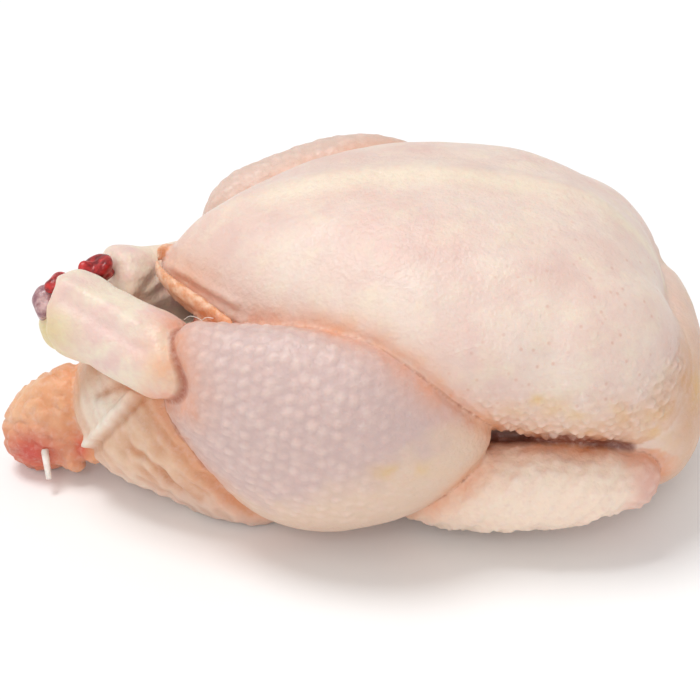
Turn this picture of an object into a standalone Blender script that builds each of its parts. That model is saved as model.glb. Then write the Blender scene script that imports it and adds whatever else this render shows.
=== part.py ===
"""A whole raw chicken, oven-ready, lying on its back with the breast up.

The neck end points to +X, the tail and the legs to -X. One skin covers everything, so the bird is
one solid: breast and keel, ribs and rump, neck flap, two legs with their hocks, two folded wings
and the tail. The body cavity is open between the legs.
Metres, +Z up, origin on the surface that the bird lies on, under the middle of its box.
"""

import math

import bmesh
import bpy
from mathutils import Matrix, Vector

MM = 0.001

# Driving dimensions, in millimetres
BREAST_TIP_X = -72.0
NECK_END_X = 131.0
TAIL_END_X = -133.0
KEEL_HEIGHT = 121.0
BREAST_HALF_WIDTH = 77.5
BREAST_HALF_HEIGHT = 43.0
BACK_HALF_WIDTH = 59.0
BACK_HALF_HEIGHT = 39.0
LEG_LENGTH = 124.0
LEG_HALF_HEIGHT = 44.0
LEG_HALF_THICKNESS = 26.0
HOCK_RADIUS = 16.5
SHANK_RADIUS = 15.0
WING_LENGTH = 96.0
WING_RADIUS = 18.5
TAIL_RADIUS = 15.0
CAVITY_HALF_WIDTH = 31.0
CAVITY_HALF_HEIGHT = 23.0
BASE_SINK = 4.5  # how much of the round back is pressed flat where the bird lies

# The far leg lies higher and further forward than the near one
FAR_LEG_LIFT = 13.5
FAR_LEG_SHIFT = 19.0
FAR_HOCK_LIFT = -13.0
FAR_HOCK_SHIFT = 12.0
FAR_HOCK_OUT = 3.0

# How finely the forms are made, joined and kept
CAGE_RINGS = 11
CAGE_SIDES = 16
CAGE_LEVELS = 2
VOXEL = 2.4
SMOOTH_STEPS = 5
TRIANGLES_KEPT = 9000

SKIN_COLOUR = (0.79, 0.62, 0.53, 1.0)
SKIN_ROUGHNESS = 0.42


def clear_scene():
    for item in list(bpy.data.objects):
        bpy.data.objects.remove(item)


def new_collection(name):
    collection = bpy.data.collections.new(name)
    bpy.context.scene.collection.children.link(collection)
    return collection


def skin_material():
    skin = bpy.data.materials.new("skin")
    skin.use_nodes = True
    shader = skin.node_tree.nodes["Principled BSDF"]
    shader.inputs["Base Color"].default_value = SKIN_COLOUR
    shader.inputs["Roughness"].default_value = SKIN_ROUGHNESS
    shader.inputs["Metallic"].default_value = 0.0
    return skin


def egg(t, peak, start_power, end_power):
    """Size along a form, 0 at its ends and 1 at peak. A power over 2 makes that end blunter."""
    if t < peak:
        return (1 - ((peak - t) / peak) ** start_power) ** (1 / start_power)
    return (1 - ((t - peak) / (1 - peak)) ** end_power) ** (1 / end_power)


def along_path(points, t):
    """The point at share t of a smooth curve through the points, and its direction there."""
    spans = len(points) - 1
    i = min(int(t * spans), spans - 1)
    s = t * spans - i
    before = points[i - 1] if i else 2 * points[0] - points[1]
    after = points[i + 2] if i + 2 <= spans else 2 * points[-1] - points[-2]
    a, b = points[i], points[i + 1]
    place = 0.5 * (
        2 * a
        + (b - before) * s
        + (2 * before - 5 * a + 4 * b - after) * s**2
        + (3 * a - before - 3 * b + after) * s**3
    )
    heading = 0.5 * (
        (b - before)
        + 2 * (2 * before - 5 * a + 4 * b - after) * s
        + 3 * (3 * a - before - 3 * b + after) * s**2
    )
    return place, heading.normalized()


def section(middle, heading, half_width, half_height, tilt, square):
    """One ring of a form: an ellipse, or with square over 2 a rounded box."""
    across = Vector((0, 0, 1)).cross(heading).normalized()
    turn = Matrix.Rotation(math.radians(tilt), 3, heading)
    across = turn @ across
    up = heading.cross(across)
    ring = []
    for step in range(CAGE_SIDES):
        angle = 2 * math.pi * step / CAGE_SIDES
        c, s = math.cos(angle), math.sin(angle)
        c = math.copysign(abs(c) ** (2 / square), c)
        s = math.copysign(abs(s) ** (2 / square), s)
        ring.append(middle + across * half_width * c + up * half_height * s)
    return ring


def form(name, collection, path, half_width, half_height, peak=0.5, powers=(2, 2), tilt=0, square=2.0):
    """A soft closed form that swells along a path given by a few points, in millimetres."""
    points = [Vector(p) for p in path]
    bm = bmesh.new()
    rings = []
    for i in range(CAGE_RINGS):
        t = (1 - math.cos(math.pi * (i + 0.5) / CAGE_RINGS)) / 2
        middle, heading = along_path(points, t)
        swell = egg(t, peak, *powers)
        ring = section(middle, heading, half_width * swell, half_height * swell, tilt, square)
        rings.append([bm.verts.new(p * MM) for p in ring])
    for first, second in zip(rings, rings[1:]):
        for j in range(CAGE_SIDES):
            k = (j + 1) % CAGE_SIDES
            bm.faces.new((first[j], first[k], second[k], second[j]))
    bm.faces.new(list(reversed(rings[0])))
    bm.faces.new(rings[-1])
    bmesh.ops.recalc_face_normals(bm, faces=bm.faces)
    mesh = bpy.data.meshes.new(name)
    bm.to_mesh(mesh)
    bm.free()
    item = bpy.data.objects.new(name, mesh)
    collection.objects.link(item)
    rounding = item.modifiers.new("rounding", "SUBSURF")
    rounding.levels = rounding.render_levels = CAGE_LEVELS
    return item


def breast(helpers):
    """The two breast muscles as one mass: thin at the tip over the cavity, deepest over the shoulders."""
    middle = KEEL_HEIGHT + 1 - BREAST_HALF_HEIGHT
    path = [(BREAST_TIP_X, 0, middle + 1), (-9, 0, middle + 3.5), (54, 0, middle - 3), (117, 0, middle - 12)]
    half_width, half_height = BREAST_HALF_WIDTH, BREAST_HALF_HEIGHT
    form("breast", helpers, path, half_width, half_height, 0.66, (2.0, 2.3), square=2.3)


def shoulder(helpers, word, side):
    """The round end of one breast muscle, beside the hollow that the neck leaves."""
    path = [(24, 26 * side, 76), (78, 32 * side, 73), (119, 26 * side, 62)]
    form(f"shoulder_{word}", helpers, path, 34, 34, 0.55, (2.0, 2.4))


def keel(helpers):
    """The ridge of the breastbone between the two muscles. It dies away at both ends."""
    half_height = 28
    middle = KEEL_HEIGHT + 1 - half_height
    path = [
        (BREAST_TIP_X - 1, 0, middle - 10),
        (-40, 0, middle - 5),
        (25, 0, middle),
        (75, 0, middle - 5),
        (108, 0, middle - 22),
    ]
    form("keel", helpers, path, 22, half_height, 0.5, (2.0, 2.4))


def back(helpers):
    """Ribs and rump, narrower than the breast, rising off the table towards the tail."""
    middle = BACK_HALF_HEIGHT - BASE_SINK
    path = [(-106, 0, middle - 3), (-40, 0, middle), (50, 0, middle), (125, 0, middle + 4)]
    form("back", helpers, path, BACK_HALF_WIDTH, BACK_HALF_HEIGHT, 0.46, (2.6, 2.6), square=2.35)


def neck_flap(helpers):
    """The loose neck skin, drawn down over the neck's hollow and tucked under the back."""
    path = [(52, 0, 36), (95, 0, 39), (NECK_END_X, 0, 41)]
    form("neck_flap", helpers, path, 57, 38, 0.6, (2, 2.6), square=2.3)


def abdomen(helpers):
    """The soft walls round the cavity's mouth, between the rump and the legs."""
    path = [(-89, 0, 42), (-55, 0, 52), (20, 0, 57)]
    form("abdomen", helpers, path, 52, 34, 0.6, (2, 2))


def leg(helpers, word, side, lift, shift):
    """Drumstick and thigh folded together under one skin, pointed at the knee."""
    start = -71 + shift
    path = [
        (start, 42 * side, 72 + lift),
        (start + 0.45 * LEG_LENGTH, 61 * side, 52 + lift),
        (start + LEG_LENGTH, 63 * side, 49 + lift),
    ]
    name = f"leg_{word}"
    form(name, helpers, path, LEG_HALF_THICKNESS, LEG_HALF_HEIGHT, 0.52, (2.1, 1.8), -8 * side, 2.1)


def hock(helpers, word, side, lift, shift, out):
    """The shank, which is the bare lower end of the drumstick, and the knob of its joint."""
    knee_side = Vector((-46 + shift, (56 + out) * side, 67 + lift))
    bare = Vector((-82 + shift, (33 + out) * side, 73 + lift))
    end = Vector((-110 + shift, (19 + out) * side, 79 + lift))
    form(f"shank_{word}", helpers, [knee_side, bare, end], SHANK_RADIUS, SHANK_RADIUS + 1, 0.5, (3, 3))
    knob = [bare.lerp(end, -0.15), bare.lerp(end, 0.4), bare.lerp(end, 1.02)]
    form(f"hock_{word}", helpers, knob, HOCK_RADIUS - 1, HOCK_RADIUS + 1, 0.6, (2, 3.4))


def wing(helpers, word, side):
    """The folded wing: forearm from elbow to wrist, with the upper arm behind it."""
    elbow, wrist = 16, 16 + WING_LENGTH
    forearm = [(elbow, 45 * side, 17), (55, 52 * side, 25), (90, 52 * side, 25), (wrist, 49 * side, 21)]
    form(f"forearm_{word}", helpers, forearm, WING_RADIUS, WING_RADIUS, 0.55, (2.6, 2.8))
    upper_arm = [(elbow + 2, 42 * side, 24), (66, 42 * side, 36), (wrist + 6, 36 * side, 44)]
    form(f"upper_arm_{word}", helpers, upper_arm, 16, 15, 0.5, (3, 3))


def tail(helpers):
    """The parson's nose: the stump of the tail, bent up on itself behind the rump."""
    root = [(-92, 0, 30), (-103, 0, 28), (-112, -1, 24)]
    form("tail_root", helpers, root, 13, 12)
    knob = [(-101, -2, 27), (-113, -3, 20), (TAIL_END_X, -4, 13)]
    form("tail", helpers, knob, TAIL_RADIUS, TAIL_RADIUS + 5, 0.52, (2.4, 2.2))


def cavity(cutters):
    """The hollow of the body, open to -X under the tip of the breast."""
    path = [(-97, 0, 67), (-62, 0, 65), (-10, 0, 61), (46, 0, 57)]
    half_width, half_height = CAVITY_HALF_WIDTH, CAVITY_HALF_HEIGHT
    return form("cavity_cutter", cutters, path, half_width, half_height, 0.6, (1.9, 2.4))


def table_cutter(cutters):
    """Everything under the surface that the bird lies on."""
    depth = 0.1
    bm = bmesh.new()
    bmesh.ops.create_cube(bm, size=1.0)
    bmesh.ops.scale(bm, verts=bm.verts, vec=(0.6, 0.4, depth))
    bmesh.ops.translate(bm, verts=bm.verts, vec=(0, 0, -depth / 2))
    mesh = bpy.data.meshes.new("table_cutter")
    bm.to_mesh(mesh)
    bm.free()
    item = bpy.data.objects.new("table_cutter", mesh)
    cutters.objects.link(item)
    return item


def evaluated_mesh(item):
    graph = bpy.context.evaluated_depsgraph_get()
    return bpy.data.meshes.new_from_object(item.evaluated_get(graph), depsgraph=graph)


def joined_forms(helpers):
    """All the forms in one mesh, still as overlapping shells."""
    bm = bmesh.new()
    for item in helpers.objects:
        mesh = evaluated_mesh(item)
        bm.from_mesh(mesh)
        bpy.data.meshes.remove(mesh)
    mesh = bpy.data.meshes.new("chicken")
    bm.to_mesh(mesh)
    bm.free()
    return mesh


def add_voxel_join(item, name):
    join = item.modifiers.new(name, "REMESH")
    join.mode = "VOXEL"
    join.voxel_size = VOXEL * MM


def add_cut(item, name, cutter):
    cut = item.modifiers.new(name, "BOOLEAN")
    cut.operation = "DIFFERENCE"
    cut.object = cutter


def bake(item):
    """Replaces the object's mesh by what its modifiers make of it."""
    old = item.data
    item.data = evaluated_mesh(item)
    item.modifiers.clear()
    bpy.data.meshes.remove(old)


def one_skin(bird, hollow, table):
    """Joins the shells into one closed skin, opens the cavity, and thins and flattens the mesh."""
    add_voxel_join(bird, "join")
    add_cut(bird, "hollow", hollow)
    add_voxel_join(bird, "join again")
    soften = bird.modifiers.new("soften", "SMOOTH")
    soften.factor = 0.5
    soften.iterations = SMOOTH_STEPS
    bake(bird)
    bird.data.calc_loop_triangles()
    fewer = bird.modifiers.new("fewer", "DECIMATE")
    fewer.ratio = TRIANGLES_KEPT / len(bird.data.loop_triangles)
    fewer.use_collapse_triangulate = True
    add_cut(bird, "table", table)
    bake(bird)


def centre_over_origin(bird):
    """Puts the middle of the bird's box over the origin."""
    xs = [v.co.x for v in bird.data.vertices]
    ys = [v.co.y for v in bird.data.vertices]
    middle = Vector(((min(xs) + max(xs)) / 2, (min(ys) + max(ys)) / 2, 0))
    bird.data.transform(Matrix.Translation(-middle))


def main():
    clear_scene()
    bird_collection = new_collection("whole_chicken")
    helpers = new_collection("forms")
    cutters = new_collection("cutters")
    breast(helpers)
    keel(helpers)
    for word, side in (("near", -1), ("far", 1)):
        shoulder(helpers, word, side)
        wing(helpers, word, side)
    back(helpers)
    neck_flap(helpers)
    abdomen(helpers)
    tail(helpers)
    leg(helpers, "near", -1, 0, 0)
    leg(helpers, "far", 1, FAR_LEG_LIFT, FAR_LEG_SHIFT)
    hock(helpers, "near", -1, 0, 0, 0)
    hock(helpers, "far", 1, FAR_HOCK_LIFT, FAR_HOCK_SHIFT, FAR_HOCK_OUT)
    hollow, table = cavity(cutters), table_cutter(cutters)
    bird = bpy.data.objects.new("chicken", joined_forms(helpers))
    bird_collection.objects.link(bird)
    for item in [*helpers.objects, *cutters.objects]:
        item.hide_render = True
        item.display_type = "WIRE"
    one_skin(bird, hollow, table)
    bird.data.shade_smooth()
    bird.data.materials.append(skin_material())
    centre_over_origin(bird)


main()
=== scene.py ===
import math

import bpy
import numpy as np
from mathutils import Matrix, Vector, noise
from mathutils.bvhtree import BVHTree


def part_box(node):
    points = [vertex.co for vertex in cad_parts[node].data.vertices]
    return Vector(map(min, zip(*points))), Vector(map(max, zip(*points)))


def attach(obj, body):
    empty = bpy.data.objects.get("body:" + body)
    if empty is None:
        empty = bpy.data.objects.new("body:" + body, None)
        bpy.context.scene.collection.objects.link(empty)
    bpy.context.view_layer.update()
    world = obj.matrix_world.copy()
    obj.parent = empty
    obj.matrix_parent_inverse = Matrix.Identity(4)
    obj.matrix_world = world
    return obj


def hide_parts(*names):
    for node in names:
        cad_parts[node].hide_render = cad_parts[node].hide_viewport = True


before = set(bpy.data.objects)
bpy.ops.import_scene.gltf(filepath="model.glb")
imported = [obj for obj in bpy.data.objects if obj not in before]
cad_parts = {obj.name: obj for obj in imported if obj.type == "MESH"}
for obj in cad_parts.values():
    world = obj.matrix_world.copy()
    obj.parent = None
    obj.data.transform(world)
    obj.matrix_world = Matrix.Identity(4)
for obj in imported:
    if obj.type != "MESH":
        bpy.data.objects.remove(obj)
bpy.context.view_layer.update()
boxLow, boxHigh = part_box("chicken")
mm = 0.001

# Where the forms' own origin lies in the frame: on the ground, under the middle of the box
ground = Vector(((boxLow[0] + boxHigh[0]) / 2 + 1.4 * mm, (boxLow[1] + boxHigh[1]) / 2, boxLow[2]))


def spot(point):  # a place given in millimetres from the bird's own origin
    return ground + Vector(point) * mm


def linear(red, green, blue):  # a colour as it looks, 0 to 255, made ready for a shader
    parts = []
    for value in (red, green, blue):
        share = value / 255
        parts.append(share / 12.92 if share < 0.04045 else ((share + 0.055) / 1.055) ** 2.4)
    return (*parts, 1.0)


# Modelling helpers

def onlySelect(item):
    bpy.ops.object.select_all(action="DESELECT")
    item.select_set(True)
    bpy.context.view_layer.objects.active = item


def applyAll(item):
    onlySelect(item)
    for modifier in list(item.modifiers):
        bpy.ops.object.modifier_apply(modifier=modifier.name)


def swellAt(share, peak, startPower, endPower):  # 0 at the ends of a form and 1 at its peak
    if share < peak:
        return (1 - ((peak - share) / peak) ** startPower) ** (1 / startPower)
    return (1 - ((share - peak) / (1 - peak)) ** endPower) ** (1 / endPower)


def pathAt(points, share):  # a smooth curve through a few points
    spans = len(points) - 1
    i = min(int(share * spans), spans - 1)
    s = share * spans - i
    before = points[i - 1] if i else 2 * points[0] - points[1]
    after = points[i + 2] if i + 2 <= spans else 2 * points[-1] - points[-2]
    a, b = points[i], points[i + 1]
    bend = (2 * before - 5 * a + 4 * b - after) * s ** 2
    twist = (3 * a - before - 3 * b + after) * s ** 3
    return 0.5 * (2 * a + (b - before) * s + bend + twist)


def turnSelected(degrees, axis, centre):  # with no window, rotate turns the other way
    bpy.ops.transform.rotate(
        value=-math.radians(degrees), orient_axis=axis, orient_type="GLOBAL", center_override=centre
    )


def squareUp(item, centre, amount):  # pushes the corners of the first ring out
    mesh = item.data
    bpy.ops.object.mode_set(mode="OBJECT")
    for vertex in mesh.vertices:
        place = vertex.co.normalized()
        vertex.select = min(abs(place.x), abs(place.y)) > 0.3
    bpy.ops.object.mode_set(mode="EDIT")
    bpy.ops.transform.resize(value=(amount, amount, amount), center_override=centre)
    bpy.ops.mesh.select_all(action="SELECT")


def softForm(name, form):  # rings pulled one out of another along the form's path
    points = [spot(p) for p in form["path"]]
    count = form.get("rings", 11)
    shares = [(1 - math.cos(math.pi * (i + 0.5) / count)) / 2 for i in range(count)]
    centres = [pathAt(points, share) for share in shares]
    swells = [swellAt(share, form.get("peak", 0.5), *form.get("powers", (2, 2))) for share in shares]
    widths = swells
    if "widthPowers" in form:
        widths = [swellAt(share, form["widthPeak"], *form["widthPowers"]) for share in shares]
    width, height = form["size"]
    bpy.ops.object.select_all(action="DESELECT")
    bpy.ops.mesh.primitive_circle_add(
        vertices=form.get("sides", 16), radius=mm, fill_type="NGON", location=centres[0],
        rotation=(0, math.pi / 2, 0),
    )
    item = bpy.context.object
    item.name = name
    bpy.ops.object.mode_set(mode="EDIT")
    bpy.ops.mesh.select_all(action="SELECT")
    if form.get("square"):
        squareUp(item, centres[0], form["square"])
    bpy.ops.transform.resize(value=(1, width * widths[0], height * swells[0]), center_override=centres[0])
    turnSelected(form.get("tilt", 0), "X", centres[0])
    turnSelected(form.get("turn", 0), "Z", centres[0])
    for i in range(1, count):
        step = centres[i] - centres[i - 1]
        bpy.ops.mesh.extrude_region_move(TRANSFORM_OT_translate={"value": step})
        ratio = swells[i] / swells[i - 1]
        wider = widths[i] / widths[i - 1]
        bpy.ops.transform.resize(value=(wider, wider, ratio), center_override=centres[i])
    bpy.ops.mesh.select_all(action="SELECT")
    bpy.ops.mesh.normals_make_consistent(inside=False)
    bpy.ops.object.mode_set(mode="OBJECT")
    bpy.ops.object.transform_apply(location=True, rotation=True, scale=True)
    rounding = item.modifiers.new("rounding", "SUBSURF")
    rounding.levels = rounding.render_levels = form.get("levels", 3)
    applyAll(item)
    return item


def treeOf(items):  # for finding how far a point is from a group of forms
    places, faces = [], []
    for item in items:
        start = len(places)
        places.extend(v.co.copy() for v in item.data.vertices)
        faces.extend([start + v for v in face.vertices] for face in item.data.polygons)
    return BVHTree.FromPolygons(places, faces)


# The bird's forms, in millimetres: a path, half sizes, where the form is widest, how blunt its ends are

breastForms = {
    "breast": {
        "path": [(-72, 0, 80), (-9, 0, 83), (54, 0, 77), (117, 0, 68)],
        "size": (74.5, 44), "peak": 0.66, "powers": (2.0, 2.3), "square": 1.04,
        "widthPeak": 0.57, "widthPowers": (1.35, 2.9),
    },
    "shoulderNear": {
        "path": [(20, -32, 74), (72, -37, 73), (119, -27, 62)],
        "size": (38, 35), "peak": 0.55, "powers": (2.0, 2.4),
    },
    "shoulderFar": {
        "path": [(24, 29, 76), (78, 33, 73), (119, 26, 62)],
        "size": (34, 34), "peak": 0.55, "powers": (2.0, 2.4),
    },
    "drapeNear": {
        "path": [(54, -30, 64), (94, -36, 62), (128, -20, 47)],
        "size": (31, 27), "peak": 0.55, "powers": (2.0, 2.4),
    },
    "drapeFar": {
        "path": [(54, 30, 64), (94, 36, 62), (128, 20, 47)],
        "size": (31, 27), "peak": 0.55, "powers": (2.0, 2.4),
    },
}

trunkForms = {
    "rump": {
        "path": [(-107, 0, 31), (-50, 0, 34), (0, 0, 34), (62, 0, 36)],
        "size": (59, 39.5), "peak": 0.5, "powers": (2.5, 2.2), "square": 1.045,
    },
    "ribs": {
        "path": [(-30, 0, 36), (50, 0, 35), (127, 0, 38)],
        "size": (48, 39), "peak": 0.5, "powers": (2.0, 2.6), "square": 1.045,
    },
    "neckFlap": {
        "path": [(58, 0, 37), (98, 0, 40), (131, 0, 42)],
        "size": (58, 38), "peak": 0.6, "powers": (2.2, 2.6), "square": 1.04,
    },
    "abdomen": {
        "path": [(-89, 0, 42), (-55, 0, 52), (20, 0, 57)],
        "size": (53, 35), "peak": 0.6,
    },
    "underNear": {
        "path": [(-86, -18, 26), (-48, -35, 18.5), (10, -42, 19)],
        "size": (20, 20.5), "peak": 0.5, "powers": (2.2, 2.2),
    },
    "underFar": {
        "path": [(-88, 18, 26), (-48, 35, 18.5), (12, 42, 19)],
        "size": (20, 20.5), "peak": 0.5, "powers": (2.2, 2.2),
    },
}

legShape = {
    "size": (26.5, 42.5), "peak": 0.48, "powers": (2.0, 1.7), "square": 1.015,
    "along": (-71.4, -41.2, -10.9, 19.4, 49.6),
    "out": (44, 53, 61.5, 62.5, 61),
    "up": (68, 52.5, 49.5, 50, 49.5),
}
hockShape = {"shank": (15.6, 15.6), "knob": (16, 17), "turn": 30}


def legForms(side, shift, lifts):
    path = [
        (along + shift, out * side, up + lift)
        for along, out, up, lift in zip(legShape["along"], legShape["out"], legShape["up"], lifts)
    ]
    shape = {key: legShape[key] for key in ("size", "peak", "powers", "square")}
    return {"leg": {"path": path, "tilt": -8 * side, **shape}}


def hockForms(side, lift, shift, out, thicker):
    knee = Vector((-44 + shift, (58 + out) * side, 66 + lift))
    bare = Vector((-82 + shift, (33 + out) * side, 73 + lift))
    end = Vector((-107 + shift, (18 + out) * side, 78 + lift))
    turn = hockShape["turn"] * side
    across = Vector((0.42, 0.9 * side, 0)) * 6.5
    lower = Vector((0, 0, 5))

    def girth(size):
        return size[0] + thicker, size[1] + thicker

    return {
        "shank": {
            "path": [knee, bare, end], "size": girth(hockShape["shank"]), "powers": (3, 3), "turn": turn,
        },
        "hock": {
            "path": [bare.lerp(end, -0.2), bare.lerp(end, 0.4), bare.lerp(end, 0.92)],
            "size": girth(hockShape["knob"]), "peak": 0.68, "powers": (2, 5), "turn": turn,
        },
        "knuckleHigh": {
            "path": [bare.lerp(end, 0.35) + Vector((0, 0, 6)), end + Vector((1, 0, 7))],
            "size": (12.5, 10.5), "peak": 0.6, "turn": turn, "rings": 8,
        },
        "knuckleLow": {
            "path": [bare.lerp(end, 0.35) - across - lower, end - across * 0.7 - Vector((4.5, 0, 7))],
            "size": (10.5, 12), "peak": 0.6, "turn": turn, "rings": 8,
        },
    }


def wingForms(side):
    return {
        "forearm": {
            "path": [(12, 48 * side, 17), (46, 57 * side, 25), (80, 60 * side, 28), (107, 58 * side, 29)],
            "size": (17.2, 17.2), "peak": 0.46, "powers": (2.4, 2.0),
        },
        "wrist": {
            "path": [(90, 58 * side, 28), (100, 58 * side, 29), (110, 56 * side, 30)],
            "size": (12, 12), "peak": 0.5, "rings": 9,
        },
        "upperArm": {
            "path": [(18, 40 * side, 24), (60, 36 * side, 34), (100, 32 * side, 38)],
            "size": (13, 13), "powers": (2.6, 2.6),
        },
    }


tailForms = {
    "tailRoot": {"path": [(-90, 0, 31), (-103, -1, 28), (-114, -2, 22)], "size": (15, 14)},
    "tailKnob": {
        "path": [(-99, -3, 28), (-113, -4, 21), (-134, -4, 13.5)],
        "size": (15, 20.5), "peak": 0.5, "powers": (2.6, 2.2),
    },
    "tailSideLump": {
        "path": [(-106, -15, 19), (-99, -17, 16), (-92, -17, 14)], "size": (6, 6.5), "rings": 8,
    },
    "tailLowLump": {"path": [(-113, -13, 11), (-107, -15, 10), (-101, -14, 9)], "size": (5, 6), "rings": 8},
}

# Folds and edges of loose skin, as thin rolls: a path and a thickness
skinRolls = {
    "cavityLip": {
        "path": [
            (-66, 6, 90), (-72, -2, 90), (-71, -12, 88), (-63, -22, 86),
            (-53, -31, 84), (-44, -40, 82), (-33, -48, 79),
        ],
        "size": (2.8, 3.4), "powers": (3, 3), "rings": 17,
    },
    "cavityLipInner": {
        "path": [(-71, -6, 84), (-66, -16, 81), (-57, -26, 79), (-48, -35, 78), (-38, -44, 77)],
        "size": (1.8, 2.3), "powers": (3, 3), "rings": 13,
    },
}

cavityForm = {
    "path": [(-99, 0, 67), (-62, 0, 65), (-10, 0, 61), (46, 0, 57)],
    "size": (31, 23), "peak": 0.6, "powers": (1.9, 2.4),
}

mouthForm = {  # opens the cavity wider on the near side, under its lip
    "path": [(-86, -12, 71), (-66, -19, 72.5), (-46, -27, 71)],
    "size": (11, 8), "peak": 0.5, "powers": (2.2, 2.2),
}

skinMesh = {
    "voxel": 1.3 * mm,  # grain of the joined skin
    "softenSteps": 4,
    "mostTriangles": 196000,
}

groupForms = {
    "breast": breastForms,
    "trunk": trunkForms,
    "legNear": legForms(-1, 0, (0, 0, 0, 0, 0)),
    "legFar": legForms(1, 11.5, (10, 13.5, 16.5, 16.5, 16)),
    "shankNear": hockForms(-1, 0, 0, 0, 0),
    "shankFar": hockForms(1, -17.5, 12, 3, 3.2),
    "wingNear": wingForms(-1),
    "wingFar": wingForms(1),
    "tail": tailForms,
    "lip": skinRolls,
}


lateGroups = ("shankNear", "shankFar", "lip")  # joined once the cavity is cut, so that they stay whole


def addVoxelJoin(item):
    join = item.modifiers.new("join", "REMESH")
    join.mode = "VOXEL"
    join.voxel_size = skinMesh["voxel"]


def joinItems(items):
    bpy.ops.object.select_all(action="DESELECT")
    for item in items:
        item.select_set(True)
    bpy.context.view_layer.objects.active = items[0]
    bpy.ops.object.join()
    return bpy.context.object


def joinSkin():
    trees, early, late = {}, [], []
    for groupName, forms in groupForms.items():
        made = [softForm(f"{groupName}_{name}", form) for name, form in forms.items()]
        trees[groupName] = treeOf(made)
        (late if groupName in lateGroups else early).extend(made)
    cutters = [softForm("hollow", cavityForm), softForm("mouth", mouthForm)]
    trees["hollow"] = treeOf(cutters)
    body = joinItems(early)
    addVoxelJoin(body)
    for cutter in cutters:
        cut = body.modifiers.new("hollow", "BOOLEAN")
        cut.operation = "DIFFERENCE"
        cut.object = cutter
    applyAll(body)
    for cutter in cutters:
        onlySelect(cutter)
        bpy.ops.object.delete()
    skin = joinItems([body, *late])
    skin.name = "birdSkin"
    addVoxelJoin(skin)
    soften = skin.modifiers.new("soften", "SMOOTH")
    soften.factor = 0.5
    soften.iterations = skinMesh["softenSteps"]
    applyAll(skin)
    return skin, trees


skin, trees = joinSkin()
print("joined skin:", len(skin.data.polygons), "faces")


# Reading and writing the skin's points all at once

def placesOf(item):
    places = np.empty(len(item.data.vertices) * 3)
    item.data.vertices.foreach_get("co", places)
    return places.reshape(-1, 3)


def normalsOf(item):
    normals = np.empty(len(item.data.vertices) * 3)
    item.data.vertex_normals.foreach_get("vector", normals)
    return normals.reshape(-1, 3)


def movePoints(item, heights):  # moves each point along its normal
    places = placesOf(item) + normalsOf(item) * heights[:, None]
    item.data.vertices.foreach_set("co", places.ravel())
    item.data.update()


def storeMask(item, name, values):
    layer = item.data.attributes.new(name, "FLOAT", "POINT")
    layer.data.foreach_set("value", values.astype(np.float32))


def distances(tree, places):
    return np.array([tree.find_nearest(Vector(p))[3] for p in places])


def smoothStep(low, high, values):
    share = np.clip((values - low) / (high - low), 0, 1)
    return share * share * (3 - 2 * share)


def noiseField(points, size, seed=0.0):  # soft noise, about -1 to 1, over points in millimetres
    offset = Vector((seed, seed * 1.7, -seed))
    scaled = points / np.asarray(size)
    return np.array([noise.noise(Vector(p) + offset) for p in scaled])


def cellBumps(u, v, spacing, radius):  # staggered rows of round bumps on a flattened surface, 0 to 1
    best = np.zeros_like(u)
    rowHeight = spacing * 0.87
    for rowStep in (-1, 0, 1):
        row = np.round(v / rowHeight) + rowStep
        start = np.where(row % 2 == 0, 0.0, spacing / 2)
        column = np.round((u - start) / spacing)
        jitterU = np.sin(row * 12.99 + column * 78.23) * spacing * 0.17
        jitterV = np.sin(row * 39.35 + column * 11.14) * spacing * 0.17
        offU = u - start - column * spacing - jitterU
        offV = v - row * rowHeight - jitterV
        near = np.clip(1 - (offU ** 2 + offV ** 2) / radius ** 2, 0, 1)
        best = np.maximum(best, near ** 2 * (0.7 + 0.3 * np.sin(row * 5.1 + column * 3.7)))
    return best


def nearLine(points, line, width):  # how close a point is to a line drawn across the near side, 0 to 1
    across, rise = points[:, 0], 0.5 * points[:, 1] + 0.87 * points[:, 2]
    best = np.full(len(points), 1e9)
    for (startX, startRise), (endX, endRise) in zip(line, line[1:]):
        stepX, stepRise = endX - startX, endRise - startRise
        length = stepX ** 2 + stepRise ** 2
        share = np.clip(((across - startX) * stepX + (rise - startRise) * stepRise) / length, 0, 1)
        offX = across - startX - share * stepX
        offRise = rise - startRise - share * stepRise
        best = np.minimum(best, offX ** 2 + offRise ** 2)
    return np.exp(-best / width ** 2)


def nearBlob(points, across, rise, width, height):  # a soft round patch on the near side, 0 to 1
    offX = (points[:, 0] - across) / width
    offRise = (0.5 * points[:, 1] + 0.87 * points[:, 2] - rise) / height
    return np.exp(-(offX ** 2 + offRise ** 2))


nearLines = {  # along the bird, and up its near side as it leans back
    "skinBand": [(-100, 7), (-93, 13), (-86, 20), (-79.5, 27)],
    "bandShadow": [(-98, 4), (-91, 10), (-84, 17), (-77, 24)],
    "rumpFold": [(-94, 26), (-84, 30), (-70, 27)],
    "rumpFoldLow": [(-82, 6), (-74, 1), (-66, -6), (-56, -12)],
    "rumpFoldLong": [(-76, 24), (-66, 9), (-51, -7), (-38, -18)],
    "shankGroove": [(-103, 60), (-90, 52), (-74, 42)],
    "shankRidge": [(-106, 68), (-92, 61), (-76, 51)],
    "lipStrand": [(-70, 72), (-62, 65), (-50, 58), (-38, 51)],
    "lipStrandHigh": [(-70, 75), (-56, 67), (-42, 59)],
    "wingRidge": [(80, -9), (97, -8), (106, -12)],
    # painted shade: the dark gap between the near wing and the breast
    "wingGapShade": [(50, 11), (75, 10.5), (98, 8)],
}

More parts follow.
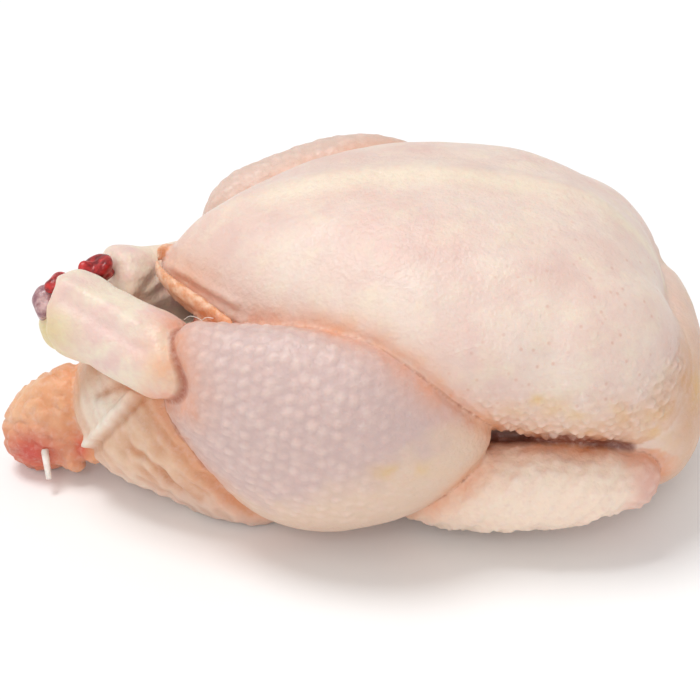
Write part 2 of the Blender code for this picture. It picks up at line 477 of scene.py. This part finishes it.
reliefSizes = {  # in millimetres
    "skinBand": 2.2,
    "rumpFolds": 1.5,
    "shankLines": 1.3,
    "lipStrands": 1.1,
    "wingRidge": 0.9,
    "creaseDepth": 2.4,
    "creaseWidth": 1.7,
    "legBumps": 1.05,
    "breastBumps": 1.6,
    "wingBumps": 0.8,
    "wrinkles": 1.2,
    "keelRidge": 1.3,
    "swellings": 0.95,
}

creasePairs = {  # share of the full fold depth between two groups, 1 for pairs not listed
    ("breast", "wingNear"): 1.5,
    ("breast", "wingFar"): 1.5,
    ("breast", "trunk"): 0.12,
    ("lip", "breast"): 0.2,
    ("lip", "trunk"): 0.3,
    ("lip", "shankNear"): 0.3,
    ("lip", "tail"): 0.3,
    ("tail", "trunk"): 0.7,
    ("shankFar", "trunk"): 0.6,
    ("shankNear", "trunk"): 0.8,
}


def readZones(item):
    places = placesOf(item)
    names = list(groupForms)
    gaps = np.array([distances(trees[name], places) for name in names]) / mm
    order = np.argsort(gaps, axis=0)
    owner = order[0]
    second = order[1]
    secondGap = np.take_along_axis(gaps, order[1:2], axis=0)[0]
    weight = np.ones(len(places))
    for (one, two), share in creasePairs.items():
        a, b = names.index(one), names.index(two)
        match = ((owner == a) & (second == b)) | ((owner == b) & (second == a))
        weight[match] = share
    zones = {name: np.exp(-(gaps[i] / 1.6) ** 2) for i, name in enumerate(names)}
    owned = {name: (owner == i).astype(float) for i, name in enumerate(names)}
    inner = np.exp(-(distances(trees["hollow"], places) / mm / 1.8) ** 2)
    inner *= 1 - sum(owned[name] for name in lateGroups)
    return (places - np.array(ground)) / mm, zones, owned, secondGap, weight, inner


points, zones, owned, foldGap, foldWeight, inner = readZones(skin)
print("zones read")


def shapeSkin(item):
    x, y, z = points.T
    size = reliefSizes
    outside = 1 - inner
    fold = np.exp(-(foldGap / size["creaseWidth"]) ** 2) * foldWeight * outside
    height = -size["creaseDepth"] * fold

    # The ridge of the breastbone and the soft hollows beside it
    top = zones["breast"] * smoothStep(60, 90, z) * smoothStep(-74, -50, x) * (1 - smoothStep(85, 112, x))
    ridge = np.exp(-(y / 5.5) ** 2) - 0.45 * np.exp(-((np.abs(y) - 15) / 8) ** 2)
    height += size["keelRidge"] * ridge * top

    # Slow unevenness everywhere
    height += size["swellings"] * noiseField(points, (26, 26, 26), 3.1) * outside
    height += 0.25 * noiseField(points, (9, 9, 9), 7.7) * outside

    # Goosebumps in rows: outer face of the legs, lower side of the breast, wings
    flat = 1 - smoothStep(0, 5, 6 - foldGap)
    warp = 1.3 * noiseField(points, (15, 15, 15), 11.0)
    bumps = np.zeros_like(x)
    for side, name, lift in ((-1, "legNear", 0), (1, "legFar", 14)):
        around = np.arctan2(z - 50 - lift, side * y - 45) * 42
        u = 0.9 * x + 0.43 * around + warp
        v = -0.43 * x + 0.9 * around + warp
        patch = owned[name] * smoothStep(14, 30, z - lift) * (1 - 0.8 * smoothStep(-12, 30, x)) * flat
        cells = cellBumps(u * 0.85, v, 4.3, 2.8) * patch
        bumps += cells
        height += size["legBumps"] * (cells - 0.25 * patch) * (1 if side < 0 else 0.5)
    around = np.arctan2(z - 76, np.abs(y)) * 76
    lower = owned["breast"] * smoothStep(18, 45, x) * smoothStep(-9, 9, -around) * flat
    fade = 0.35 * (1 - smoothStep(-10, 12, around))
    cells = cellBumps(x + warp, around, 4.5, 2.5) * (lower + 0.4 * fade * owned["breast"])
    bumps += cells
    height += size["breastBumps"] * (cells - 0.3 * lower)
    for side, name in ((-1, "wingNear"), (1, "wingFar")):
        around = np.arctan2(z - 24, side * y - 50) * 19
        cells = cellBumps(x + warp, around + warp, 4.2, 2.1) * owned[name] * flat
        bumps += cells
        height += size["wingBumps"] * (cells - 0.3 * owned[name] * flat)

    # Wrinkles: across the rump, and short ones that run into the folds
    rumpMask = owned["trunk"] * (1 - smoothStep(-30, 0, x)) * outside
    lines = noiseField(points, (4.4, 15, 10), 5.0)
    height += size["wrinkles"] * lines * rumpMask
    nearFold = np.exp(-((foldGap - 4) / 5) ** 2) * owned["breast"] * outside
    height += 0.7 * noiseField(points, (3.6, 12, 12), 9.0) * nearFold
    turned = x * 0.7 + z * 0.7
    stripes = noiseField(np.column_stack((turned, y, z - x)), (4.0, 16, 16), 8.0)
    nearRump = rumpMask * (0.35 + nearBlob(points, -62, 2, 18, 14))
    height += 2.4 * stripes * nearRump
    wings = (owned["wingNear"] + owned["wingFar"]) * flat
    height += 1.1 * noiseField(np.column_stack((x - 0.8 * z, y, z)), (4.2, 16, 16), 31.0) * wings
    height += size["wingRidge"] * nearLine(points, nearLines["wingRidge"], 1.7) * owned["wingNear"]
    tip = owned["breast"] * (y < 5)
    for name in ("lipStrand", "lipStrandHigh"):
        height += size["lipStrands"] * nearLine(points, nearLines[name], 1.5) * tip
    nearTrunk = (owned["trunk"] + owned["tail"]) * (y < 0)
    height += size["skinBand"] * nearLine(points, nearLines["skinBand"], 1.4) * nearTrunk
    height -= size["rumpFolds"] * nearLine(points, nearLines["bandShadow"], 1.4) * nearTrunk
    height -= size["rumpFolds"] * nearLine(points, nearLines["rumpFold"], 1.8) * nearTrunk
    height -= 0.7 * size["rumpFolds"] * nearLine(points, nearLines["rumpFoldLow"], 2.2) * nearTrunk
    height -= 0.8 * size["rumpFolds"] * nearLine(points, nearLines["rumpFoldLong"], 2.0) * nearTrunk
    nearShank = owned["shankNear"] * (y < 0)
    height -= size["shankLines"] * nearLine(points, nearLines["shankGroove"], 2.6) * nearShank
    height += size["shankLines"] * nearLine(points, nearLines["shankRidge"], 2.2) * nearShank
    tailMask = owned["tail"]
    creased = np.clip(np.abs(noiseField(points, (7, 9, 5), 2.0)) * 4, 0, 1)
    height += (1.3 * creased - 0.8 + 0.7 * noiseField(points, (3.4, 3.4, 3.4), 6.0)) * tailMask
    shankMask = np.maximum(owned["shankNear"], owned["shankFar"])
    height += 0.5 * noiseField(points, (16, 5, 5), 4.0) * shankMask
    movePoints(item, height * mm)
    # painted shade in the rump's wrinkle valleys and along its fold lines
    creaseShade = np.clip(-2.6 * stripes, 0, 1) * nearRump * 0.8
    for name in ("bandShadow", "rumpFold", "rumpFoldLow", "rumpFoldLong"):
        creaseShade += 0.7 * nearLine(points, nearLines[name], 1.6) * nearTrunk
    return fold, bumps, np.clip(creaseShade, 0, 1)


fold, bumps, creaseShade = shapeSkin(skin)


def easeFolds(item):  # softens the folds where they are cut, and presses the back flat on the ground
    group = item.vertex_groups.new(name="folds")
    for index in np.nonzero(fold > 0.05)[0]:
        group.add([int(index)], float(min(1, fold[index] * 2)), "REPLACE")
    ease = item.modifiers.new("ease", "SMOOTH")
    ease.vertex_group = "folds"
    ease.factor = 0.6
    ease.iterations = 6
    applyAll(item)
    places = placesOf(item)
    places[:, 2] = np.maximum(places[:, 2], boxLow[2])
    item.data.vertices.foreach_set("co", places.ravel())
    item.data.update()


easeFolds(skin)
print("skin shaped")


def storeMasks(item):
    x, y, z = points.T
    grain = noiseField(points, (7, 7, 7), 21.0)
    edge = 30 + 0.5 * np.maximum(x + 30, 0)
    for side, name, lift in ((-1, "legNear", 0), (1, "legFar", 13.5)):
        patch = owned[name] * smoothStep(-9, 8, z - lift - edge + 7 * grain)
        storeMask(item, f"{name}Patch", patch * (1 if side < 0 else 0.45))
        storeMask(item, name, owned[name])
    storeMask(item, "bumps", bumps)
    storeMask(item, "creaseShade", creaseShade)
    # painted shade in the gap between the near wing and the breast, and in the cavity's mouth behind the
    # lip
    besideWing = (y < -20) * (1 - owned["legNear"])
    storeMask(item, "wingGapShade", nearLine(points, nearLines["wingGapShade"], 2.6) * besideWing)
    storeMask(item, "shankGroove", nearLine(points, nearLines["shankGroove"], 4.0) * owned["shankNear"])
    behind = smoothStep(-28, -16, y) * (1 - smoothStep(26, 40, y)) * (1 - owned["breast"] - owned["lip"])
    storeMask(item, "mouthShade", nearBlob(points, -56, 60, 13, 8) * behind)
    storeMask(item, "tipGlow", nearBlob(points, -64, 64, 13, 12) * owned["breast"] * (y < 12))
    storeMask(item, "fold", fold)
    storeMask(item, "foldGlow", np.exp(-(foldGap / 7) ** 2) * foldWeight)
    storeMask(item, "inner", inner)
    tailward = owned["trunk"] * (1 - smoothStep(-20, 20, x))
    storeMask(item, "rump", tailward * (0.3 + 0.7 * smoothStep(5, 30, z)))
    storeMask(item, "wing", np.maximum(owned["wingNear"], owned["wingFar"]))
    storeMask(item, "shank", np.maximum(owned["shankNear"], owned["shankFar"]))
    storeMask(item, "tail", owned["tail"])
    storeMask(item, "lip", owned["lip"])
    top = owned["breast"] * smoothStep(88, 104, z)
    keel = np.exp(-((y + 5) / 6) ** 2) * smoothStep(-50, -20, x) * (1 - smoothStep(60, 90, x))
    neckStrip = np.exp(-((y + 3) / 5) ** 2) * smoothStep(70, 95, x) * owned["breast"]
    storeMask(item, "keel", np.clip(top * keel + neckStrip, 0, 1))
    near = (y < 0).astype(float)
    whiteFat = nearBlob(points, -92, 22, 9, 9) + 0.8 * nearBlob(points, -80, 33, 10, 3)
    whiteFat += 0.6 * nearBlob(points, -99, 8, 4, 4) + 0.5 * nearLine(points, nearLines["skinBand"], 1.8)
    storeMask(item, "whiteFat", np.clip(whiteFat * near * owned["trunk"], 0, 1))
    yellow = nearBlob(points, 16, 0.5, 11, 3) + nearBlob(points, 62, 25.5, 5, 2.5)
    yellow += nearBlob(points, 108, 15, 6, 4)
    yellow += 0.8 * nearBlob(points, 124, 29, 4, 7) + 0.7 * nearBlob(points, 80, 21, 22, 3)
    storeMask(item, "yellow", np.clip(yellow * near * smoothStep(-0.35, 0.35, grain), 0, 1))
    tailRed = (nearBlob(points, -122, 3, 13, 9) + nearBlob(points, -103, 5, 3, 5)) * owned["tail"]
    storeMask(item, "tailRed", tailRed)
    wingEnd = np.maximum(owned["wingNear"], owned["wingFar"]) * smoothStep(90, 110, x + 4 * grain)
    storeMask(item, "wingEnd", wingEnd)
    olive = nearBlob(points, -112, 48, 12, 11) * owned["shankNear"]
    olive += (1 - smoothStep(-104, -76, x)) * (1 - smoothStep(52, 74, z)) * owned["shankFar"]
    storeMask(item, "shankOlive", olive)
    around = np.arctan2(z - 76, np.abs(y)) * 76
    # lower side of the breast: partly the skin's own warmer tone, partly painted shade and painted glow
    lowBreastToneAndShade = owned["breast"] * smoothStep(-2, 26, -around + 5 * grain) * smoothStep(-25, 30, x)
    storeMask(item, "breastLowToneAndShade", lowBreastToneAndShade)
    storeMask(item, "follicles", owned["breast"] * smoothStep(-60, 60, x - around + 20 * grain))
    neckWarm = smoothStep(100, 128, x + 4 * grain) * (1 - smoothStep(50, 92, z))
    storeMask(item, "neckWarm", neckWarm * np.maximum(owned["breast"], owned["trunk"]))


storeMasks(skin)


def thinOut(item):
    item.data.calc_loop_triangles()
    count = len(item.data.loop_triangles)
    if count > skinMesh["mostTriangles"]:
        fewer = item.modifiers.new("fewer", "DECIMATE")
        fewer.ratio = skinMesh["mostTriangles"] / count
        applyAll(item)


thinOut(skin)
onlySelect(skin)
bpy.ops.object.shade_smooth()
print("skin:", len(skin.data.polygons), "faces")


# Materials

class Nodes:  # short ways to add and link nodes in one material
    def __init__(self, name):
        self.material = bpy.data.materials.new(name)
        self.material.use_nodes = True
        self.tree = self.material.node_tree
        self.shader = self.tree.nodes["Principled BSDF"]
        self.coordinates = self.tree.nodes.new("ShaderNodeTexCoord").outputs["Object"]

    def link(self, source, socket):
        self.tree.links.new(source, socket)

    def mask(self, name):
        node = self.tree.nodes.new("ShaderNodeAttribute")
        node.attribute_name = name
        return node.outputs["Fac"]

    def noise(self, size, detail=3.0, roughness=0.55, stretch=(1, 1, 1)):  # size in millimetres
        mapping = self.tree.nodes.new("ShaderNodeMapping")
        mapping.inputs["Scale"].default_value = stretch
        self.link(self.coordinates, mapping.inputs["Vector"])
        node = self.tree.nodes.new("ShaderNodeTexNoise")
        node.inputs["Scale"].default_value = 1000 / size
        node.inputs["Detail"].default_value = detail
        node.inputs["Roughness"].default_value = roughness
        self.link(mapping.outputs["Vector"], node.inputs["Vector"])
        return node.outputs["Fac"]

    def cells(self, size):
        node = self.tree.nodes.new("ShaderNodeTexVoronoi")
        node.inputs["Scale"].default_value = 1000 / size
        self.link(self.coordinates, node.inputs["Vector"])
        return node.outputs["Distance"]

    def ramp(self, source, low, high, start=0.0, end=1.0):
        node = self.tree.nodes.new("ShaderNodeMapRange")
        node.inputs["From Min"].default_value = low
        node.inputs["From Max"].default_value = high
        node.inputs["To Min"].default_value = start
        node.inputs["To Max"].default_value = end
        self.link(source, node.inputs["Value"])
        return node.outputs["Result"]

    def maths(self, operation, first, second):
        node = self.tree.nodes.new("ShaderNodeMath")
        node.operation = operation
        for socket, value in zip(node.inputs, (first, second)):
            if isinstance(value, (int, float)):
                socket.default_value = value
            else:
                self.link(value, socket)
        return node.outputs["Value"]

    def mix(self, factor, first, second):  # each colour is a socket or a fixed colour
        node = self.tree.nodes.new("ShaderNodeMix")
        node.data_type = "RGBA"
        colours = [socket for socket in node.inputs if socket.type == "RGBA"]
        if isinstance(factor, (int, float)):
            node.inputs[0].default_value = factor
        else:
            self.link(factor, node.inputs[0])
        for socket, value in zip(colours, (first, second)):
            if isinstance(value, tuple):
                socket.default_value = value
            else:
                self.link(value, socket)
        return next(socket for socket in node.outputs if socket.type == "RGBA")

    def bump(self, height, distance, strength=1.0, before=None):
        node = self.tree.nodes.new("ShaderNodeBump")
        node.inputs["Distance"].default_value = distance * mm
        node.inputs["Strength"].default_value = strength
        self.link(height, node.inputs["Height"])
        if before:
            self.link(before, node.inputs["Normal"])
        return node.outputs["Normal"]


skinColours = {
    "cream": linear(240, 219, 205),
    "pink": linear(231, 197, 185),
    "fat": linear(243, 227, 204),
    "lilac": linear(212, 184, 178),
    "legCream": linear(228, 200, 178),
    "bump": linear(246, 222, 210),
    "rump": linear(214, 164, 124),
    "rumpPale": linear(234, 202, 174),
    "whiteFat": linear(250, 238, 222),
    "yellow": linear(232, 192, 112),
    "olive": linear(226, 206, 142),
    "wingEnd": linear(214, 152, 142),
    "tailPale": linear(236, 190, 152),
    "tailRed": linear(206, 78, 62),
    # painted glow: warm orange beside the folds, standing in for light shining through the skin
    "fold": linear(232, 150, 98),
    # painted shade for the bottom of the creases
    "foldShade": linear(158, 72, 38),
    "inside": linear(150, 62, 38),
    # lower breast: partly its own warmer tone, partly painted shade and painted glow
    "lowBreastToneAndShade": linear(218, 166, 122),
    "neckWarm": linear(208, 154, 102),
    "vein": linear(206, 176, 176),
    # painted shade for the rump's wrinkles and fold lines
    "creaseShade": linear(198, 132, 88),
    "follicle": linear(212, 150, 124),
    # painted shade for the gaps between parts
    "gapShade": linear(112, 44, 30),
    "wing": linear(250, 226, 206),
    "shank": linear(243, 228, 206),
    "shankPink": linear(235, 203, 194),
    "tail": linear(226, 160, 116),
    "lip": linear(226, 158, 112),
    "lipPale": linear(244, 200, 168),
}


def skinMaterial():
    nodes = Nodes("raw poultry skin")
    colours = skinColours
    broad = nodes.noise(34, 2.0)
    blotch = nodes.noise(11, 4.0)
    fine = nodes.noise(2.6, 4.0, 0.65)
    base = nodes.mix(nodes.ramp(broad, 0.4, 0.66, 0, 0.8), colours["cream"], colours["pink"])
    base = nodes.mix(nodes.ramp(blotch, 0.5, 0.72, 0, 0.6), base, colours["fat"])
    # darker, warmer lower breast: partly the skin's own tone, partly painted shade and painted glow
    low = nodes.maths("MULTIPLY", nodes.mask("breastLowToneAndShade"), nodes.ramp(blotch, 0.3, 0.7, 0.35, 0.85))
    base = nodes.mix(low, base, colours["lowBreastToneAndShade"])
    base = nodes.mix(nodes.maths("MULTIPLY", nodes.mask("neckWarm"), 0.75), base, colours["neckWarm"])
    veinField = nodes.noise(24, 3.0, 0.5, (0.7, 1, 1))
    offVein = nodes.maths("ABSOLUTE", nodes.maths("SUBTRACT", veinField, 0.5), 0)
    base = nodes.mix(nodes.ramp(offVein, 0.0, 0.06, 0.13, 0), base, colours["vein"])
    base = nodes.mix(nodes.maths("MULTIPLY", nodes.mask("keel"), 0.8), base, colours["fat"])
    base = nodes.mix(nodes.mask("wing"), base, colours["wing"])
    base = nodes.mix(nodes.maths("MULTIPLY", nodes.mask("wingEnd"), 0.8), base, colours["wingEnd"])
    rump = nodes.mix(nodes.ramp(blotch, 0.35, 0.7), colours["rump"], colours["rumpPale"])
    base = nodes.mix(nodes.maths("MULTIPLY", nodes.mask("rump"), 0.9), base, rump)
    base = nodes.mix(nodes.mask("whiteFat"), base, colours["whiteFat"])
    base = nodes.mix(nodes.mask("legNear"), base, colours["legCream"])
    base = nodes.mix(nodes.mask("legFar"), base, colours["legCream"])
    patch = nodes.maths("MAXIMUM", nodes.mask("legNearPatch"), nodes.mask("legFarPatch"))
    base = nodes.mix(patch, base, colours["lilac"])
    base = nodes.mix(nodes.ramp(nodes.mask("bumps"), 0.1, 0.9, 0, 0.42), base, colours["bump"])
    shank = nodes.mix(nodes.ramp(nodes.noise(16, 3.0), 0.45, 0.62), colours["shank"], colours["shankPink"])
    base = nodes.mix(nodes.mask("shank"), base, shank)
    base = nodes.mix(nodes.maths("MULTIPLY", nodes.mask("shankOlive"), 0.8), base, colours["olive"])
    tail = nodes.mix(nodes.ramp(blotch, 0.35, 0.65), colours["tail"], colours["tailPale"])
    base = nodes.mix(nodes.mask("tail"), base, tail)
    base = nodes.mix(nodes.mask("tailRed"), base, colours["tailRed"])
    base = nodes.mix(nodes.maths("MULTIPLY", nodes.mask("yellow"), 0.6), base, colours["yellow"])
    lip = nodes.mix(nodes.ramp(nodes.noise(3.4, 3.0), 0.4, 0.62), colours["lip"], colours["lipPale"])
    base = nodes.mix(nodes.mask("lip"), base, lip)
    base = nodes.mix(nodes.maths("MULTIPLY", nodes.mask("shankGroove"), 0.7), base, colours["shankPink"])
    base = nodes.mix(nodes.maths("MULTIPLY", nodes.mask("tipGlow"), 0.65), base, colours["lip"])
    # painted shade in the rump's wrinkles and folds
    base = nodes.mix(nodes.maths("MULTIPLY", nodes.mask("creaseShade"), 0.75), base, colours["creaseShade"])
    follicles = nodes.ramp(nodes.cells(4.6), 0.06, 0.2, 0.4, 0)
    base = nodes.mix(nodes.maths("MULTIPLY", follicles, nodes.mask("follicles")), base, colours["follicle"])
    # painted glow beside the folds, in orange
    glow = nodes.maths("MULTIPLY", nodes.mask("foldGlow"), nodes.ramp(blotch, 0.3, 0.7, 0.25, 0.75))
    base = nodes.mix(glow, base, colours["fold"])
    # painted shade: the deepest part of each crease is darkened
    base = nodes.mix(nodes.ramp(nodes.mask("fold"), 0.6, 1.0, 0, 0.85), base, colours["foldShade"])
    # painted shade in the gap under the wing and in the cavity's mouth
    gaps = nodes.maths("MAXIMUM", nodes.mask("wingGapShade"), nodes.mask("mouthShade"))
    base = nodes.mix(nodes.ramp(gaps, 0.3, 0.9, 0, 0.85), base, colours["gapShade"])
    base = nodes.mix(nodes.ramp(nodes.mask("inner"), 0.2, 0.9), base, colours["inside"])
    base = nodes.mix(nodes.ramp(fine, 0.48, 0.75, 0, 0.4), base, colours["pink"])
    shader = nodes.shader
    nodes.link(base, shader.inputs["Base Color"])
    nodes.link(nodes.ramp(blotch, 0.3, 0.75, 0.34, 0.52), shader.inputs["Roughness"])
    shader.inputs["Subsurface Weight"].default_value = 0.22
    shader.inputs["Subsurface Radius"].default_value = (1.0, 0.42, 0.28)
    shader.inputs["Subsurface Scale"].default_value = 0.0035
    shader.inputs["Specular IOR Level"].default_value = 0.5
    dimples = nodes.bump(nodes.noise(5.5, 3.0), 0.7, 0.55)
    pores = nodes.bump(nodes.cells(1.7), 0.2, 0.6, dimples)
    nodes.link(nodes.bump(fine, 0.5, 0.8, pores), shader.inputs["Normal"])
    return nodes.material


skin.data.materials.clear()
skin.data.materials.append(skinMaterial())


# Small pieces that grow out of the skin: joint ends, a quill, stray feather hairs

lumpPieces = {  # place, half sizes, how lumpy, finish; in millimetres
    "farJointEnd": {"at": (-96.5, 16, 74), "size": (6.8, 6.5, 5), "lumps": 1.5, "finish": "joint"},
    "nearJointRim": {"at": (-106, -19, 87.5), "size": (5.4, 4.6, 3.2), "lumps": 0.8, "finish": "joint"},
    "nearJointKnob": {
        "at": (-111.5, -20, 79.5), "size": (4.6, 6.5, 6.5), "lumps": 0.9, "finish": "cartilage",
    },
}

hairStrands = {
    "thickness": 0.12,
    "strands": [
        [(-60, -40, 84), (-57, -43, 87), (-53, -45, 86), (-51, -46, 83)],
        [(-55, -44, 83), (-52, -46, 88), (-49, -48, 89)],
        [(-49, -46, 84), (-45, -48, 87), (-41, -50, 85)],
    ],
}


def redMaterial(name, dark, bright, roughness):
    nodes = Nodes(name)
    tone = nodes.ramp(nodes.noise(3.2, 3.0), 0.38, 0.62)
    nodes.link(nodes.mix(tone, dark, bright), nodes.shader.inputs["Base Color"])
    nodes.shader.inputs["Roughness"].default_value = roughness
    nodes.shader.inputs["Subsurface Weight"].default_value = 0.15
    nodes.shader.inputs["Subsurface Radius"].default_value = (1.0, 0.3, 0.2)
    nodes.shader.inputs["Subsurface Scale"].default_value = 0.002
    nodes.link(nodes.bump(nodes.noise(1.4, 3.0), 0.3, 0.7), nodes.shader.inputs["Normal"])
    return nodes.material


def makeLump(name, setup, material, seed):
    centre = spot(setup["at"])
    bpy.ops.object.select_all(action="DESELECT")
    bpy.ops.mesh.primitive_ico_sphere_add(subdivisions=5, radius=mm, location=centre)
    item = bpy.context.object
    item.name = name
    bpy.ops.object.mode_set(mode="EDIT")
    bpy.ops.transform.resize(value=setup["size"], center_override=centre)
    bpy.ops.object.mode_set(mode="OBJECT")
    bpy.ops.object.transform_apply(location=True, rotation=True, scale=True)
    places = (placesOf(item) - np.array(ground)) / mm
    lumps = 2.2 * noiseField(places, (6.0, 6.0, 6.0), seed)
    movePoints(item, setup["lumps"] * lumps * mm)
    bpy.ops.object.shade_smooth()
    item.data.materials.append(material)
    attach(item, "root")
    return item


def makeHairs(material):
    curve = bpy.data.curves.new("featherHairs", "CURVE")
    curve.dimensions = "3D"
    curve.bevel_depth = hairStrands["thickness"] * mm
    curve.bevel_resolution = 1
    curve.resolution_u = 8
    curve.use_fill_caps = True
    for strand in hairStrands["strands"]:
        spline = curve.splines.new("BEZIER")
        spline.bezier_points.add(len(strand) - 1)
        for point, place in zip(spline.bezier_points, strand):
            point.co = spot(place)
            point.handle_left_type = point.handle_right_type = "AUTO"
    hairs = bpy.data.objects.new("featherHairs", curve)
    bpy.context.scene.collection.objects.link(hairs)
    onlySelect(hairs)
    bpy.ops.object.convert(target="MESH")
    hairs.data.materials.append(material)
    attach(hairs, "root")


def makeQuill(material):
    root, tip = spot((-117, -17, 15)), spot((-115, -24, 6))
    along = tip - root
    bpy.ops.object.select_all(action="DESELECT")
    bpy.ops.mesh.primitive_cone_add(
        vertices=16, radius1=1.5 * mm, radius2=1.1 * mm, depth=along.length, location=(root + tip) / 2,
        rotation=along.to_track_quat("Z", "Y").to_euler(),
    )
    quill = bpy.context.object
    quill.name = "tailQuill"
    bpy.ops.object.transform_apply(location=True, rotation=True, scale=True)
    rim = quill.modifiers.new("rim", "BEVEL")
    rim.width = 0.35 * mm
    rim.segments = 3
    applyAll(quill)
    bpy.ops.object.shade_smooth_by_angle(angle=math.radians(50))
    quill.data.materials.append(material)
    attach(quill, "root")


finishes = {
    "joint": redMaterial("raw joint", linear(120, 14, 18), linear(206, 52, 50), 0.3),
    "cartilage": redMaterial("joint cartilage", linear(150, 104, 112), linear(206, 170, 168), 0.28),
    "quill": redMaterial("feather quill", linear(226, 216, 206), linear(246, 240, 232), 0.4),
}
for number, (pieceName, setup) in enumerate(lumpPieces.items()):
    makeLump(pieceName, setup, finishes[setup["finish"]], 13.0 + number)
makeHairs(finishes["quill"])
makeQuill(finishes["quill"])
print("small pieces made")


# Stage: floor, light, camera

stageSetup = {
    "floorSize": 6.0,
    "floorGap": 0.0004,
    "skyStrength": 0.55,
    "sunStrength": 1.42,
    "sunSoftness": 24,
    "fillStrength": 0.55,
    "floorGlow": 0.04,
}


def makeFloor():
    bpy.ops.object.select_all(action="DESELECT")
    place = (ground.x, ground.y, boxLow[2] - stageSetup["floorGap"])
    bpy.ops.mesh.primitive_plane_add(size=stageSetup["floorSize"], location=place)
    floor = bpy.context.object
    floor.name = "floor"
    bpy.ops.object.transform_apply(location=True, rotation=True, scale=True)
    nodes = Nodes("plain pale floor")
    tree = nodes.tree
    nodes.shader.inputs["Base Color"].default_value = (0.94, 0.94, 0.94, 1)
    nodes.shader.inputs["Roughness"].default_value = 0.9
    glow = tree.nodes.new("ShaderNodeEmission")
    ray = tree.nodes.new("ShaderNodeLightPath")
    seen = nodes.maths("MAXIMUM", ray.outputs["Is Camera Ray"], ray.outputs["Is Glossy Ray"])
    nodes.link(nodes.maths("MULTIPLY", seen, stageSetup["floorGlow"]), glow.inputs["Strength"])
    both = tree.nodes.new("ShaderNodeAddShader")
    nodes.link(nodes.shader.outputs["BSDF"], both.inputs[0])
    nodes.link(glow.outputs["Emission"], both.inputs[1])
    nodes.link(both.outputs["Shader"], tree.nodes["Material Output"].inputs["Surface"])
    floor.data.materials.append(nodes.material)
    return floor


def makeLight():
    world = bpy.data.worlds.new("soft sky")
    bpy.context.scene.world = world
    world.use_nodes = True
    world.node_tree.nodes["Background"].inputs["Color"].default_value = (1, 1, 1, 1)
    world.node_tree.nodes["Background"].inputs["Strength"].default_value = stageSetup["skyStrength"]
    for name, strength, tiltX, tiltY in (
        ("softSun", stageSetup["sunStrength"], -4, -17),
        ("frontFill", stageSetup["fillStrength"], 52, -14),
    ):
        bpy.ops.object.light_add(type="SUN", rotation=(math.radians(tiltX), math.radians(tiltY), 0))
        sun = bpy.context.object
        sun.name = name
        sun.data.energy = strength
        sun.data.angle = math.radians(stageSetup["sunSoftness"])


cameraSetup = {"lens": 110, "elevation": 30, "height": 0.0485, "span": 0.2642}


def makeCamera():
    middle = [(low + high) / 2 for low, high in zip(boxLow, boxHigh)]
    target = Vector((middle[0], middle[1], boxLow[2] + cameraSetup["height"]))
    distance = cameraSetup["span"] * cameraSetup["lens"] / 36
    angle = math.radians(cameraSetup["elevation"])
    place = target + Vector((0, -math.cos(angle), math.sin(angle))) * distance
    bpy.ops.object.camera_add(location=place, rotation=(math.pi / 2 - angle, 0, 0))
    camera = bpy.context.object
    camera.name = "camera"
    camera.data.lens = cameraSetup["lens"]
    camera.data.clip_start = 0.01
    bpy.context.scene.camera = camera


makeFloor()
makeLight()
makeCamera()
bpy.context.scene.view_settings.view_transform = "Standard"
print("stage set")

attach(skin, "root")
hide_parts("chicken")
